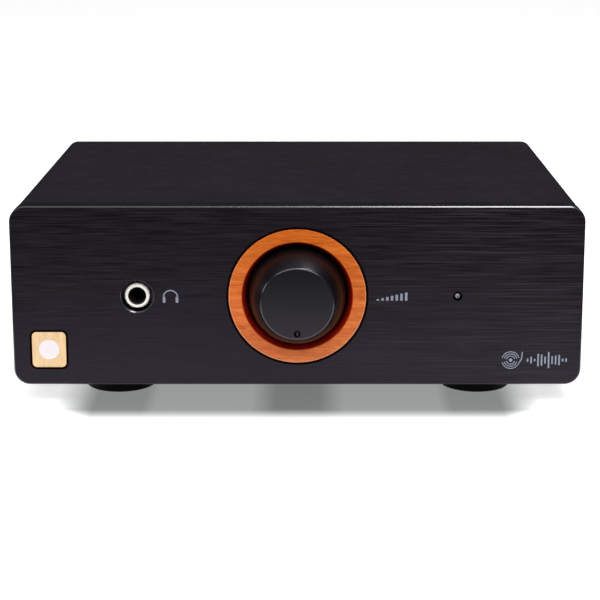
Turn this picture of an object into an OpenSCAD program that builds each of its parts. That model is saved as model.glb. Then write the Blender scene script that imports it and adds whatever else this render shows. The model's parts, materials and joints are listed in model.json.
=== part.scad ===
// Desktop phono preamplifier with a headphone output: a thick brushed front panel with a turned
// wooden ring round the volume knob, on a folded tray and cover with the circuit boards inside.
// Millimetres. +X is right and +Y is back, seen from the front; z = 0 is the table top.

/* [Front panel] */
// Width of the front panel
panel_w = 230; // [220:1:250]
// Height of the front panel
panel_h = 74; // [72:1:90]
// Thickness of the front panel
panel_t = 8; // [7.5:0.5:12]
// Radius of the front panel's four corners
panel_corner_r = 6.5; // [3:0.5:9]
// Bevel round the front panel's front edge
panel_bevel = 0.6; // [0.3:0.1:1]
// How far the front panel reaches below the tray
panel_drop = 0.6; // [0.2:0.1:1.5]

/* [Case] */
// Depth of the case behind the front panel
case_d = 155; // [150:1:180]
// How far the cover stands inside the front panel's outline
cover_inset = 0.6; // [0.4:0.1:1.5]
// Thickness of the folded cover
cover_t = 2; // [1.5:0.1:2.5]
// Outside radius of the cover's bends
cover_bend_r = 5; // [3.5:0.5:7]
// Thickness of the folded tray
tray_t = 1.5; // [1:0.1:2]
// Height of the tray's side flanges
flange_h = 16; // [14:0.5:20]
// Thickness of the rear panel
rear_t = 2; // [1.5:0.1:3]
// How far the rear panel sits inside the cover's back edge
rear_inset = 1; // [0.5:0.1:2]
// Play between folded sheets that slide together
sheet_play = 0.2; // [0.1:0.05:0.4]

/* [Feet] */
// Height from the table top to the tray
foot_h = 9.8; // [8:0.2:14]
// Largest radius of a foot
foot_r = 15.2; // [13:0.2:18]
// Distance from the panel's end to a foot's centre
foot_side = 40; // [32:1:55]
// Distance from the case's front or back to a foot's centre
foot_inset = 24; // [20:1:35]
// Radius of the rubber pad under a foot
pad_r = 11.5; // [9:0.5:11.5]
// Thickness of the rubber pad
pad_t = 1.2; // [1:0.1:1.5]
// How far the rubber pad stands out of the foot
pad_proud = 0.4; // [0.2:0.1:0.6]

/* [Wooden ring] */
// Outside radius of the wooden ring
ring_r = 27.7; // [27:0.1:30]
// Width of the ring's flat face
ring_face_w = 5.5; // [4:0.5:6]
// How far the ring stands proud of the front panel
ring_proud = 0.2; // [0:0.1:1]
// Depth of the pocket that holds the ring
ring_depth = 6.4; // [6:0.1:6.5]
// Thickness of the ring's floor behind the knob
ring_floor_t = 1.6; // [1:0.1:1.8]
// Radius of the bowl between the ring's wall and floor
ring_bowl_r = 4.4; // [1:0.1:4.6]
// Gap between the ring and its pocket
ring_gap = 0.45; // [0.2:0.05:0.6]

/* [Volume knob] */
// Radius of the knob at the front panel's face
knob_r = 19.4; // [17:0.1:20]
// Radius of the knob's front face
knob_face_r = 14.6; // [13.8:0.1:16]
// How far the knob stands out of the front panel
knob_out = 12.2; // [10:0.2:20]
// How far the knob reaches into the ring
knob_sink = 3.2; // [1:0.1:3.4]
// How far the knob's flank bows out of a straight cone
knob_bow = 0.8; // [0:0.1:1.2]
// Rounding of the knob's front edge
knob_edge_r = 0.9; // [0.3:0.1:1.2]
// Radius of the pointer dimple
dot_r = 1.4; // [0.8:0.1:1.6]
// Distance of the pointer dimple from the knob's axis
dot_x = 12.2; // [9:0.1:12.2]
// Depth of the pointer dimple's straight wall, down to its round end
dot_wall = 0.4; // [0.1:0.1:1]
// Radius of the grub screw that holds the knob
grub_r = 1.5; // [1.25:0.05:2]

/* [Volume potentiometer] */
// Side of the potentiometer's square housing
pot_w = 27; // [24:1:30]
// Depth of the potentiometer's housing
pot_d = 22.5; // [22.5:0.5:26]
// Radius of the potentiometer's shaft
shaft_r = 3; // [2.5:0.25:3.5]
// Radius of the potentiometer's threaded bush
bush_r = 4.5; // [4.5:0.25:5]
// Running clearance round the shaft
shaft_play = 0.05; // [0.03:0.01:0.1]

/* [Headphone socket] */
// Distance of the socket from the middle
jack_x = 64.5; // [55:0.5:70]
// Radius of the hole in the front panel round the socket
jack_hole_r = 6.4; // [6.2:0.1:8]
// Radius of the socket's threaded nose
jack_nose_r = 5; // [4.8:0.05:5.75]
// Radius of the plug's bore
jack_bore_r = 3.25; // [3.22:0.01:3.4]
// How far the nose sits behind the front panel's face
jack_sink = 1; // [0.5:0.1:2]

/* [Power light] */
// Distance of the power light from the middle
led_x = 64.5; // [55:0.5:70]
// Radius of the light's lens
led_r = 1.5; // [1.4:0.05:1.6]
// Radius of the light's hole in the front panel
led_hole_r = 1.9; // [1.8:0.1:2.5]
// How far the lens sits behind the front panel's face
led_sink = 0.4; // [0.2:0.1:1]

/* [Badge] */
// Width of the inlaid badge
badge_w = 14; // [10:0.5:16]
// Height of the inlaid badge
badge_h = 15; // [10:0.5:16]
// Distance from the panel's left end to the badge's centre
badge_side = 14.5; // [14:0.5:17]
// Height of the badge's centre above the panel's bottom edge
badge_z = 14.8; // [13:0.1:17]
// Depth of the badge's pocket
badge_t = 2; // [1:0.1:3]
// Radius of the badge's round inlay
inlay_r = 4.2; // [2:0.1:4.5]

/* [Rear connectors] */
// Distance from the rear panel's inside to the socket board
socket_d = 12; // [11:0.5:16]
// Radius of a signal socket's barrel
rca_r = 4.15; // [4.1:0.01:4.2]
// Length of a signal socket's barrel
rca_len = 9; // [8:0.1:10]
// Radius of a signal socket's threaded back
rca_thread_r = 3.9; // [3.5:0.1:4]
// Radius of a signal socket's centre bore
rca_pin_r = 1.65; // [1.62:0.01:1.7]
// Distance between the two sockets of a pair
rca_pitch = 20; // [18:0.5:24]
// Distance from the panel's left end to the input pair's middle
input_side = 49; // [47:0.5:53]
// Position of the output pair's middle
output_x = -18; // [-22:0.5:-14]
// Distance from the panel's left end to the earth post
post_side = 19; // [17:0.5:22]
// Radius of the earth post's thread
post_r = 2; // [2:0.1:2.5]
// Length of the earth post outside the rear panel
post_len = 16; // [15:0.5:20]
// Position of the cartridge switch
gain_x = 22; // [18:0.5:26]
// Travel of the cartridge switch
gain_travel = 4; // [3:0.5:4]
// Distance from the panel's right end to the power switch
power_side = 59; // [55:0.5:63]
// Angle that the power switch leans either way
rocker_angle = 9; // [6:0.5:10]
// Distance from the panel's right end to the power inlet
inlet_side = 29; // [25:0.5:33]

/* [Circuit boards] */
// Thickness of every circuit board
board_t = 1.6; // [1.2:0.1:2]
// Height of the main board above the tray
standoff_h = 8; // [6:0.5:10]
// Gap between the cover's side and the main board
board_gap = 10.4; // [9:0.2:14]

/* [Screws] */
// Play between a screw and the hole that it passes through
screw_play = 0.15; // [0.1:0.05:0.3]
// Radius of the screws that hold the cover and the boards
screw_r = 1.5; // [1.25:0.05:1.6]
// Radius of the screws that hold the front panel and the feet
bolt_r = 2; // [1.75:0.05:2.1]

/* [Hidden] */
$fn = 48;
eps = 0.5; // how far a cutter runs past the face that it opens
fit = 0.05; // play of a part that is pushed into its hole and stays there

// Heights
panel_z = foot_h - panel_drop;
axis_z = panel_z + panel_h / 2;
cover_top = panel_z + panel_h - cover_inset;
inner_top = cover_top - cover_t;
sheet_top = inner_top - sheet_play;
deck_z = foot_h + tray_t;
board_z = deck_z + standoff_h;
board_top = board_z + board_t;

// Widths
cover_w = panel_w - 2 * cover_inset;
inner_w = cover_w - 2 * cover_t;
sheet_w = inner_w - 2 * sheet_play;
inner_bend_r = cover_bend_r - cover_t;
sheet_bend_r = max(inner_bend_r - sheet_play, 0.5);
board_w = inner_w - 2 * board_gap;

// Places across, from the middle
foot_x = panel_w / 2 - foot_side;
badge_x = panel_w / 2 - badge_side;
input_x = input_side - panel_w / 2;
post_x = post_side - panel_w / 2;
power_x = panel_w / 2 - power_side;
inlet_x = panel_w / 2 - inlet_side;

// Depths, counted back from the front panel's face
wall_y = panel_t + tray_t;
cover_end = panel_t + case_d;
rear_y = cover_end - rear_inset;
rear_in = rear_y - rear_t;
socket_y = rear_in - socket_d;
bush_flange_t = 1;
housing_y = wall_y + bush_flange_t;
control_y = housing_y + pot_d;
control_back = control_y + board_t;
main_y = wall_y + 5;
main_end = rear_in - 3;

// Wooden ring
ring_wall_r = ring_r - ring_face_w;
ring_floor_y = ring_depth - ring_floor_t;
ring_curve_r = min(ring_bowl_r, ring_floor_y);
ring_hole_r = bush_r + 4.5;
ring_edge = 0.3;
pocket_r = ring_r + ring_gap;

// Volume knob
knob_hub_y = knob_sink - 1.8;
knob_room_r = bush_r + 4;
knob_slope = (knob_r - knob_face_r) / knob_out;
knob_lean = atan(knob_slope);
knob_flank = sqrt(pow(knob_r - knob_face_r, 2) + pow(knob_out, 2));
knob_bow_lean = atan(4 * knob_bow / knob_flank);
knob_flank_steps = 12;
grub_y = -knob_out / 3;
grub_len = 6;
grub_start = shaft_r - 0.5;

// Potentiometer
bush_front = knob_hub_y + 0.8;
bush_flange_r = 9;
pot_washer_t = 0.5;
pot_washer_r = bush_r + 3;
pot_nut_r = bush_r + 2.6;
pot_nut_t = 1.8;
pot_wall = 1.5;
shaft_front = 5 - knob_out;
rotor_t = 3;
rotor_y = housing_y + pot_d / 2;
rotor_r = pot_w / 2 - 3;

// Badge
badge_corner_r = 2;
badge_play = 0.15;

// Headphone socket
jack_mouth_y = jack_sink;
jack_seat_t = 2;
jack_wall_t = 1.5;
jack_back_t = 1.2;
jack_body_w = 2 * jack_nose_r + 3;
jack_nut_t = 1.8;
jack_nut_r = jack_nose_r + 2.2;
jack_nut_room_r = jack_nut_r + 1;
jack_cavity_w = jack_body_w - 2 * jack_wall_t;
contact_w = 3;
contact_t = 0.4;

// Power light
holder_r = led_r + 1.3;
led_play = 0.1;
led_len = 8;

// Screws: a head's radius as a share of the thread's, and a head's height
head_ratio = 1.85;
head_t = 1.8;
nut_ratio = 2;
nut_t = 2;
sink_t = 1.6;
sink_r = screw_r * (1 + (head_ratio - 1) * (1 + eps / sink_t)); // a sunk head's cone, eps further out

// Sheet metal
lip_d = 12;
upstand_h = 12;
tab_z = foot_h + flange_h + 2;
tab_top = sheet_top - sheet_bend_r - 2;

// Places of the screws that hold the front panel
panel_screw_side = 14;
panel_screw_edge = 11;
panel_screw_places = [
    for (
        x = [panel_screw_side - sheet_w / 2, sheet_w / 2 - panel_screw_side],
        z = [panel_screw_edge, panel_h - panel_screw_edge]
    ) [x, panel_z + z]
];
panel_screw_y = badge_t + 1.2;

// Places, as depth and height, of the screws through each side of the cover
side_screw_z = foot_h + flange_h / 2 + 1;
side_screw_front = 20;
side_screw_back = 24;
side_screw_rise = 14;
side_screw_places = [
    [panel_t + side_screw_front, side_screw_z],
    [cover_end - side_screw_back, side_screw_z],
    [rear_in - lip_d / 2, axis_z + side_screw_rise]
];

// Places of the screws along the rear panel's foot
rear_screw_side = 12;
rear_screw_rise = 5.5;
rear_screw_places = [rear_screw_side - sheet_w / 2, 0, sheet_w / 2 - rear_screw_side];
rear_screw_z = deck_z + rear_screw_rise;

// Feet
foot_front_y = panel_t + foot_inset;
foot_back_y = cover_end - foot_inset;
foot_places = [
    for (y = [foot_front_y, foot_back_y], x = [-foot_x, foot_x]) [x, y]
];
foot_web = 4;
foot_taper = 0.4;
foot_bevel = 0.4;
bolt_head_t = 2.2;

// Main board
standoff_side = 6;
board_x = board_w / 2 - standoff_side;
standoff_r = 3;
collar_r = 2.2;
standoff_front = 12;
standoff_back = 26;
standoff_places = [
    for (x = [-board_x, 0, board_x], y = [main_y + standoff_front, main_end - standoff_back]) [x, y]
];
board_screw_len = 5;
header_w = 40;
header_d = 5;
header_h = 9;
pin_pitch = 2.54;

// How far the upright boards reach above the knob's axis, and past what they carry
upright_board_rise = 16;
control_board_past_jack = 12;
control_board_past_led = 8;
rear_board_past_input = 24;
rear_board_past_inlet = 10;

// Power capacitors, in columns along the main board's right edge. A `_from` here and below
// is the distance of a part's first row from the board's front edge.
can_r = 8;
can_h = 25;
can_pitch = 20;
can_edge = 14;
can_from = 56;
can_groove_z = 3.2;
can_groove = 0.5;
can_groove_h = 0.7;

// Film capacitors and chips, a column of each for either channel
film_w = 18;
film_d = 7;
film_h = 12;
film_pitch = 14;
film_x = [-84, -36];
film_from = 46;
chip_w = 6.4;
chip_len = 9.8;
chip_low = 0.5;
chip_h = 3.4;
chip_pitch = 18;
chip_x = [-54, -6];
chip_from = 48;
leg_w = 0.8;
leg_t = 0.6;
leg_h = 2.2;

// Output relays, in front of the rear board
relay_w = 20;
relay_d = 12;
relay_h = 15;
relay_gap = 10;
relay_x = [-70, -46];

// Voltage regulators, each against its heat sink
regulator_w = 10;
regulator_t = 3.2;
regulator_tab_t = 1.3;
regulator_low = 4;
regulator_h = 9;
regulator_tab_h = 15;
regulator_edge = 18;
regulator_pitch = 24;
regulator_from = 34;
regulator_x = [for (i = [0:2]) board_w / 2 - regulator_edge - regulator_pitch * i];
heat_sink_w = 20;
heat_sink_h = 26;
heat_sink_t = 2;
fin_count = 5;
fin_len = 8;
fin_t = 1.2;
fin_pitch = (heat_sink_w - fin_t) / (fin_count - 1);

// Resistors, in rows between the channels and the power capacitors
resistor_r = 1.2;
resistor_len = 6;
resistor_rise = 1.4;
resistor_reach = 3.6;
resistor_pitch = 9;
resistor_x = [10, 22, 34];
resistor_from = 50;
lead_r = 0.3;

// Signal sockets
rca_flange_r = 6.4;
rca_flange_t = 2.5;
rca_ring_r = 7.5;
rca_ring_t = 1.5;
rca_collar_r = rca_thread_r + 1;
rca_core_r = 3.2;
rca_contact_r = 2.1;
rca_base_y = rear_in - 6;
rca_seat_y = rear_y + rca_ring_t + rca_flange_t;
rca_tip = rca_seat_y + rca_len;
white_x = [input_x - rca_pitch / 2, output_x - rca_pitch / 2];
red_x = [input_x + rca_pitch / 2, output_x + rca_pitch / 2];
tail_r = 0.8;
tail_end = socket_y - board_t - 1.5;

// Earth post
post_collar_r = 5;
post_collar_t = 2;
post_gap = 0.3;
post_washer_t = 1;
washer_y = rear_y + post_collar_t + post_gap;
thumb_y = washer_y + post_washer_t;
thumb_r = 6;
thumb_len = 7;
flute_count = 18;
post_tip = rear_y + post_len;

// Cartridge switch
gain_stem_w = 3.4;
gain_stem_h = 3.8;
gain_stem_out = 3;
gain_base_w = gain_stem_w + 4;
gain_base_h = 6;
gain_play = 0.3;
gain_slot_w = gain_stem_w + gain_travel + 2 * gain_play;
gain_slot_h = gain_stem_h + 2 * gain_play;
gain_room_w = gain_base_w + gain_travel + 2 * gain_play;
gain_room_h = gain_base_h + 2 * gain_play;
gain_body_w = gain_room_w + 3;
gain_body_h = gain_room_h + 3;
gain_room_y = rear_in - 4.5;
gain_face_t = 1;

// Power switch
rocker_w = 10;
rocker_r = 8.2;
rocker_play = 0.3;
rocker_face = 3.8;
rocker_back = 3;
rocker_pin_r = 1.5;
rocker_pin_play = 0.06;
rocker_pin_len = 1.2;
bezel_t = 1.6;
bezel_lip = 2.4;
rocker_room_w = rocker_w + 2 * rocker_play;
rocker_room_h = 2 * (rocker_r + rocker_play);
rocker_room_d = rocker_back + rocker_r * sin(2 * rocker_angle) + rocker_play;
switch_wall = 1.3;
switch_body_w = rocker_room_w + 2 * switch_wall;
switch_body_h = rocker_room_h + 2 * switch_wall;
pivot_y = rear_y - 3;

// Power inlet
inlet_thread_r = 4.4;
inlet_flange_r = inlet_thread_r + 1.2;
inlet_flange_t = 1.5;
inlet_bore_r = 2.85;
inlet_bore_d = 9.5;
inlet_floor_t = 1.5;
inlet_pin_r = 1.05;
inlet_mouth_y = rear_y + inlet_flange_t;
inlet_floor_y = inlet_mouth_y - inlet_bore_d;
inlet_nut_r = inlet_thread_r + 2.2;

// The frame's origin lies midway between the knob's face and the rearmost tip
front_y = (knob_out - max(rca_tip, post_tip)) / 2;

// ---- Shared shapes ----

// Everything is drawn from the front panel's face and moved into the frame here
module in_frame() {
    translate([0, front_y, 0])
        children();
}

// A box between its lowest and its highest corner
module block(low, high) {
    translate(low)
        cube(high - low);
}

// A box given by its middle in X and Z, its width and height, and its two depths
module slab(x, z, w, h, from, to) {
    block([x - w / 2, from, z - h / 2], [x + w / 2, to, z + h / 2]);
}

// A round bar along Y
module bar_y(r, from, to, x = 0, z = axis_z) {
    translate([x, from, z])
        rotate([-90, 0, 0])
            cylinder(r = r, h = to - from);
}

// A round bar along X
module bar_x(r, from, to, y, z) {
    translate([from, y, z])
        rotate([0, 90, 0])
            cylinder(r = r, h = to - from);
}

// A round bar along Z
module bar_z(r, from, to, x, y) {
    translate([x, y, from])
        cylinder(r = r, h = to - from);
}

// Turns an outline of radius and depth about a line along Y
module turned(x = 0, z = axis_z) {
    translate([x, 0, z])
        rotate([-90, 0, 0])
            rotate_extrude()
                children();
}

// A washer or tube along Y
module tube_y(outer, inner, from, to, x = 0, z = axis_z) {
    difference() {
        bar_y(outer, from, to, x, z);
        bar_y(inner, from - eps, to + eps, x, z);
    }
}

// A hexagonal nut along Y
module nut_y(outer, inner, from, to, x = 0, z = axis_z) {
    difference() {
        translate([x, from, z])
            rotate([-90, 0, 0])
                cylinder(r = outer, h = to - from, $fn = 6);
        bar_y(inner, from - eps, to + eps, x, z);
    }
}

// A round-headed screw along Y with a cross-shaped recess, its head on the side of `head`
module screw_y(r, tip, seat, x, z) {
    side = seat > tip ? 1 : -1;
    face = seat + side * head_t;
    difference() {
        union() {
            bar_y(r, min(tip, seat), max(tip, seat), x, z);
            bar_y(r * head_ratio, min(seat, face), max(seat, face), x, z);
        }
        for (w = [[r * 1.9, 0.6], [0.6, r * 1.9]])
            slab(x, z, w[0], w[1], min(face, face - side) - 0.01, max(face, face - side) + 0.01);
    }
}

// A room of the case: a box with its two upper edges rounded
module arched(w, low, top, r, from, to) {
    block([-w / 2, from, low], [w / 2, to, top - r]);
    block([r - w / 2, from, low], [w / 2 - r, to, top]);
    for (x = [r - w / 2, w / 2 - r])
        bar_y(r, from, to, x, top - r);
}

// A small tablet with rounded corners, standing upright
module tablet(x, z, w, h, r, from, to) {
    slab(x, z, w - 2 * r, h, from, to);
    slab(x, z, w, h - 2 * r, from, to);
    for (i = [-1, 1], k = [-1, 1])
        bar_y(r, from, to, x + i * (w / 2 - r), z + k * (h / 2 - r));
}

// ---- Front panel ----

// One corner of the panel: a quarter of this turned piece shows
module panel_corner(x, z) {
    turned(x, z)
        polygon([
            [0, 0],
            [panel_corner_r - panel_bevel, 0],
            [panel_corner_r, panel_bevel],
            [panel_corner_r, panel_t],
            [0, panel_t]
        ]);
}

// The bevelled section of the panel across a span from low to high, as span and depth
module bevelled_section(low, high) {
    polygon([
        [low, panel_bevel],
        [low + panel_bevel, 0],
        [high - panel_bevel, 0],
        [high, panel_bevel],
        [high, panel_t],
        [low, panel_t]
    ]);
}

module panel_plate() {
    flat_w = panel_w - 2 * panel_corner_r;
    flat_h = panel_h - 2 * panel_corner_r;
    translate([0, 0, panel_z + panel_corner_r])
        linear_extrude(flat_h)
            bevelled_section(-panel_w / 2, panel_w / 2);
    translate([-flat_w / 2, 0, 0])
        rotate([90, 0, 90])
            linear_extrude(flat_w)
                mirror([1, -1, 0])
                    bevelled_section(panel_z, panel_z + panel_h);
    for (x = [-flat_w / 2, flat_w / 2], z = [panel_corner_r, panel_h - panel_corner_r])
        panel_corner(x, panel_z + z);
}

module front_panel() {
    color("#242327") in_frame()
        difference() {
            panel_plate();
            bar_y(pocket_r, -eps, ring_depth);
            bar_y(bush_r + screw_play, 0, panel_t + eps);
            bar_y(jack_hole_r, -eps, panel_t + eps, -jack_x);
            turned(-jack_x)
                polygon([
                    [0, -eps],
                    [jack_hole_r + panel_bevel + eps, -eps],
                    [jack_hole_r, panel_bevel],
                    [0, panel_bevel]
                ]);
            bar_y(jack_nut_room_r, panel_t - jack_nut_t - 0.5, panel_t + eps, -jack_x);
            bar_y(led_hole_r, -eps, panel_t + eps, led_x);
            tablet(-badge_x, panel_z + badge_z, badge_w, badge_h, badge_corner_r, -eps, badge_t);
            for (p = panel_screw_places)
                bar_y(bolt_r, panel_screw_y, panel_t + eps, p[0], p[1]);
        }
}

// The wooden ring: a flat rim that curves down into a shallow bowl behind the knob
module wooden_ring() {
    color("#c8662a") in_frame()
        turned()
            difference() {
                polygon([
                    [ring_hole_r, ring_edge - ring_proud],
                    [ring_wall_r - ring_edge, ring_edge - ring_proud],
                    [ring_wall_r + ring_edge, -ring_proud],
                    [ring_r - ring_edge, -ring_proud],
                    [ring_r, ring_edge - ring_proud],
                    [ring_r, ring_depth],
                    [ring_hole_r, ring_depth]
                ]);
                translate([0, -eps - ring_proud])
                    square([ring_wall_r, eps + ring_proud + ring_floor_y - ring_curve_r]);
                translate([0, -eps - ring_proud])
                    square([ring_wall_r - ring_curve_r, eps + ring_proud + ring_floor_y]);
                translate([ring_wall_r - ring_curve_r, ring_floor_y - ring_curve_r])
                    circle(r = ring_curve_r);
            }
}

// A plain pale tablet let into the panel, with a plain disc let into the tablet
module badge_plate() {
    color("#ecc893") in_frame()
        difference() {
            tablet(
                -badge_x, panel_z + badge_z, badge_w - 2 * badge_play, badge_h - 2 * badge_play,
                badge_corner_r - badge_play, 0, badge_t
            );
            bar_y(inlay_r, -eps, badge_t / 2, -badge_x, panel_z + badge_z);
        }
}

module badge_inlay() {
    color("#e9e6e0") in_frame()
        bar_y(inlay_r - fit, 0, badge_t / 2, -badge_x, panel_z + badge_z);
}

// ---- Volume control ----

// The knob's outline: a cone with a bowed flank and a rounded front edge, on a plain base
// inside the ring. The rounding ends at the lean that the flank starts with.
module knob_outline() {
    bend_y = knob_edge_r - knob_out;
    bend_r = knob_face_r + knob_slope * (bend_y + knob_out) - knob_edge_r / cos(knob_lean);
    edge_lean = knob_lean + knob_bow_lean;
    start = [bend_r + knob_edge_r * cos(edge_lean), bend_y - knob_edge_r * sin(edge_lean)];
    run = [knob_r, 0] - start;
    out = [run[1], -run[0]] / norm(run);
    polygon([
        [0, -knob_out],
        for (i = [0:6])
            let (a = -90 + i * (90 - edge_lean) / 6)
                [bend_r + knob_edge_r * cos(a), bend_y + knob_edge_r * sin(a)],
        for (i = [1:knob_flank_steps])
            let (t = i / knob_flank_steps)
                start + t * run + 4 * knob_bow * t * (1 - t) * out,
        [knob_r, knob_sink],
        [0, knob_sink]
    ]);
}

module volume_knob() {
    color("#2c2b30") in_frame()
        difference() {
            turned()
                knob_outline();
            bar_y(knob_room_r, knob_hub_y, knob_sink + eps);
            bar_y(shaft_r + fit, shaft_front - 0.3, knob_sink);
            bar_z(grub_r, axis_z - knob_r - eps, axis_z, 0, grub_y);
            bar_y(dot_r, -knob_out - eps, dot_wall - knob_out, 0, axis_z - dot_x);
            translate([0, dot_wall - knob_out, axis_z - dot_x])
                sphere(r = dot_r);
        }
}

// The grub screw bears on the shaft's flat
module knob_grub_screw() {
    color("#3a3a3c") in_frame()
        difference() {
            bar_z(grub_r - fit, axis_z - grub_start - grub_len, axis_z - grub_start, 0, grub_y);
            translate([0, grub_y, axis_z - grub_start - grub_len - eps])
                cylinder(r = grub_r / 2, h = 1.8 + eps, $fn = 6);
        }
}

module pot_shaft() {
    color("#b9bbbd") in_frame()
        difference() {
            bar_y(shaft_r, shaft_front, control_y - pot_wall - 0.5);
            slab(0, axis_z - grub_start - shaft_r, 4 * shaft_r, 2 * shaft_r, shaft_front - eps, knob_hub_y);
        }
}

// The rotor carries the wipers and turns with the shaft
module pot_rotor() {
    color("#d9d4c4") in_frame()
        difference() {
            tube_y(rotor_r, shaft_r + fit, rotor_y, rotor_y + rotor_t);
            for (a = [45, 225])
                translate([0, 0, axis_z])
                    rotate([0, a, 0])
                        translate([rotor_r * 0.7, rotor_y - eps, -1])
                            cube([rotor_r, rotor_t + 2 * eps, 2]);
        }
}

// Threaded bush on its mounting plate
module pot_bush() {
    color("#c9b27a") in_frame()
        difference() {
            union() {
                bar_y(bush_r, bush_front, housing_y);
                bar_y(bush_flange_r, wall_y, housing_y);
            }
            bar_y(shaft_r + shaft_play, bush_front - eps, housing_y + eps);
        }
}

module pot_nut() {
    color("#bfc1c4") in_frame() {
        tube_y(pot_washer_r, bush_r + fit, ring_depth - pot_washer_t, ring_depth);
        nut_y(pot_nut_r, bush_r + fit, ring_depth - pot_washer_t - pot_nut_t, ring_depth - pot_washer_t);
    }
}

module pot_housing() {
    color("#3b5f86") in_frame()
        difference() {
            slab(0, axis_z, pot_w, pot_w, housing_y, control_y);
            bar_y(pot_w / 2 - pot_wall, housing_y + pot_wall, control_y - pot_wall);
            bar_y(shaft_r + 0.5, housing_y - eps, housing_y + pot_wall + eps);
        }
}

// ---- Headphone socket ----

module headphone_socket_nose() {
    color("#c9c9c6") in_frame()
        turned(-jack_x)
            polygon([
                [jack_bore_r + 0.4, jack_mouth_y],
                [jack_nose_r - 0.4, jack_mouth_y],
                [jack_nose_r, jack_mouth_y + 0.4],
                [jack_nose_r, wall_y + jack_seat_t],
                [jack_bore_r, wall_y + jack_seat_t],
                [jack_bore_r, jack_mouth_y + 0.4]
            ]);
}

module headphone_socket_body() {
    color("#1d1d1f") in_frame()
        difference() {
            slab(-jack_x, axis_z, jack_body_w, jack_body_w, wall_y, control_y);
            bar_y(jack_nose_r + fit, wall_y - eps, wall_y + jack_seat_t, -jack_x);
            slab(
                -jack_x, axis_z, jack_cavity_w, jack_cavity_w,
                wall_y + jack_seat_t - 0.01, control_y - jack_back_t
            );
        }
}

module headphone_socket_nut() {
    color("#bdbdbb") in_frame()
        nut_y(jack_nut_r, jack_nose_r + fit, panel_t - jack_nut_t, panel_t, -jack_x);
}

// A leaf spring along each side wall and the floor, bent towards the plug
module headphone_contacts() {
    spring_y = wall_y + jack_seat_t + 2;
    spring_end = control_y - jack_back_t;
    root = jack_cavity_w / 2;
    bend = root - jack_bore_r - contact_t - 0.15;
    color("#c7a24a") in_frame()
        for (a = [0, 90, 180])
            translate([-jack_x, 0, axis_z])
                rotate([0, a, 0])
                    translate([0, 0, -contact_w / 2])
                        linear_extrude(contact_w)
                            polygon([
                                [root, spring_end],
                                [root, spring_end - 4],
                                [root - bend, (spring_y + spring_end) / 2],
                                [root - 0.3, spring_y],
                                [root - 0.3 - contact_t, spring_y],
                                [root - bend - contact_t, (spring_y + spring_end) / 2],
                                [root - contact_t, spring_end - 4],
                                [root - contact_t, spring_end]
                            ]);
}

// ---- Power light ----

// The lens, domed in front, and its two wire leads
module power_light() {
    color("#8f8b88") in_frame() {
        turned(led_x) {
            translate([0, led_sink + led_r])
                square([led_r, led_len - led_r]);
            intersection() {
                translate([0, led_sink + led_r])
                    circle(r = led_r);
                translate([0, led_sink])
                    square([led_r, led_r + 0.01]);
            }
        }
        for (x = [-0.8, 0.8])
            bar_y(0.3, led_sink + led_len, control_back + 1, led_x + x);
    }
}

module power_light_holder() {
    color("#19191b") in_frame()
        tube_y(holder_r, led_r + led_play, panel_t, control_y, led_x);
}

// ---- Circuit boards ----

module control_board() {
    color("#1f4a36") in_frame()
        difference() {
            block(
                [-jack_x - control_board_past_jack, control_y, board_top],
                [led_x + control_board_past_led, control_back, axis_z + upright_board_rise]
            );
            for (x = [-0.8, 0.8])
                bar_y(0.4, control_y - eps, control_back + eps, led_x + x);
        }
}

// The board that carries the sockets and switches at the back
module rear_board() {
    color("#1f4a36") in_frame()
        difference() {
            block(
                [input_x - rear_board_past_input, socket_y - board_t, board_top],
                [inlet_x + rear_board_past_inlet, socket_y, axis_z + upright_board_rise]
            );
            for (x = concat(white_x, red_x))
                bar_y(tail_r + 0.1, socket_y - board_t - eps, socket_y + eps, x);
            bar_y(inlet_pin_r + 0.1, socket_y - board_t - eps, socket_y + eps, inlet_x);
        }
}

module main_board() {
    color("#1f4a36") in_frame()
        difference() {
            block([-board_w / 2, main_y, board_z], [board_w / 2, main_end, board_top]);
            for (p = standoff_places)
                bar_z(screw_r + screw_play, board_z - eps, board_top + eps, p[0], p[1]);
        }
}

// Two connectors that join the upright boards to the main board
module board_headers() {
    color("#1c1c1e") in_frame()
        for (y = [control_back, socket_y - board_t - header_d])
            difference() {
                block([-header_w / 2, y, board_top], [header_w / 2, y + header_d, board_top + header_h]);
                block(
                    [1 - header_w / 2, y + 1, board_top + 2],
                    [header_w / 2 - 1, y + header_d - 1, board_top + header_h + eps]
                );
            }
}

// Hexagonal posts, riveted into the tray by the collar at their foot
module board_standoffs() {
    color("#c4a968") in_frame()
        for (p = standoff_places)
            difference() {
                union() {
                    translate([p[0], p[1], deck_z])
                        cylinder(r = standoff_r, h = standoff_h, $fn = 6);
                    bar_z(collar_r, foot_h, deck_z, p[0], p[1]);
                }
                bar_z(screw_r, board_z - board_screw_len - 1, board_z + eps, p[0], p[1]);
            }
}

module board_screws() {
    color("#b4b4b6") in_frame()
        for (p = standoff_places)
            difference() {
                union() {
                    bar_z(screw_r - fit, board_z - board_screw_len, board_top, p[0], p[1]);
                    bar_z(screw_r * head_ratio, board_top, board_top + head_t, p[0], p[1]);
                }
                for (w = [[screw_r * 1.9, 0.6], [0.6, screw_r * 1.9]])
                    block(
                        [p[0] - w[0] / 2, p[1] - w[1] / 2, board_top + head_t - 1],
                        [p[0] + w[0] / 2, p[1] + w[1] / 2, board_top + head_t + eps]
                    );
            }
}

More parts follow.
